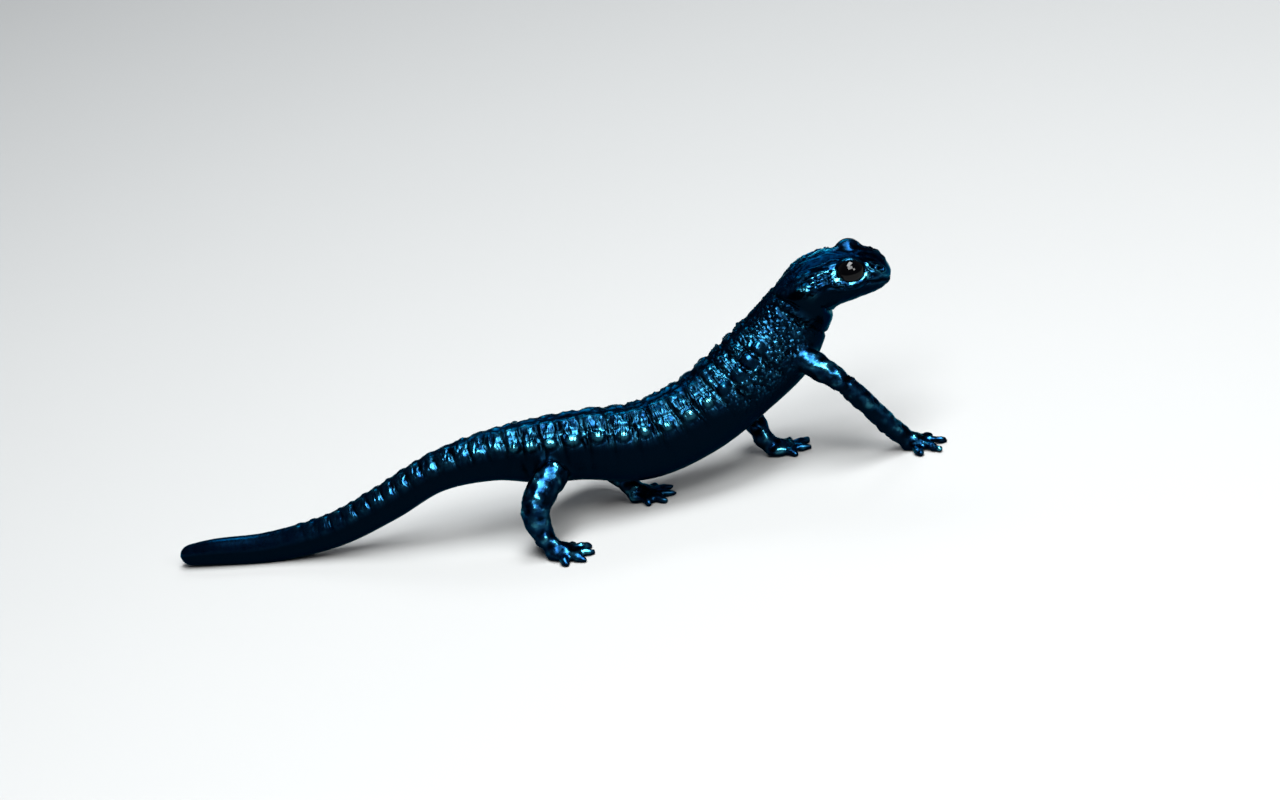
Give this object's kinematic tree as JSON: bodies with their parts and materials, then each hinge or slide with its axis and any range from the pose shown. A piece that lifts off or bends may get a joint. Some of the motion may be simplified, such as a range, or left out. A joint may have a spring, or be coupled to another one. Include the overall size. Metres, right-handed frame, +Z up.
{
  "type": "alpine salamander",
  "caption": "Still life-size alpine salamander in mid stride, head raised, glossy blue-black skin, ribbed flanks with wart rows and a long tail laid on the floor.",
  "frame": {"origin": "middle of the model's box at floor level, under the belly", "axes": "+X the way the animal faces, +Y its left side, +Z up"},
  "size_m": [0.1188, 0.032, 0.0326],
  "materials": {
    "skin": "wet gloss",
    "eye": "polished"
  },
  "bodies": {
    "root": {"head": "skin", "neck": "skin", "chest": "skin", "belly": "skin", "pelvis": "skin", "tail_1": "skin", "tail_2": "skin", "tail_3": "skin", "tail_4": "skin", "foreleg_right_upper": "skin", "foreleg_right_lower": "skin", "forefoot_right": "skin", "foreleg_left_upper": "skin", "foreleg_left_lower": "skin", "forefoot_left": "skin", "hindleg_right_upper": "skin", "hindleg_right_lower": "skin", "hindfoot_right": "skin", "hindleg_left_upper": "skin", "hindleg_left_lower": "skin", "hindfoot_left": "skin", "eye_left": "eye", "eye_right": "eye"}
  },
  "joints": []
}
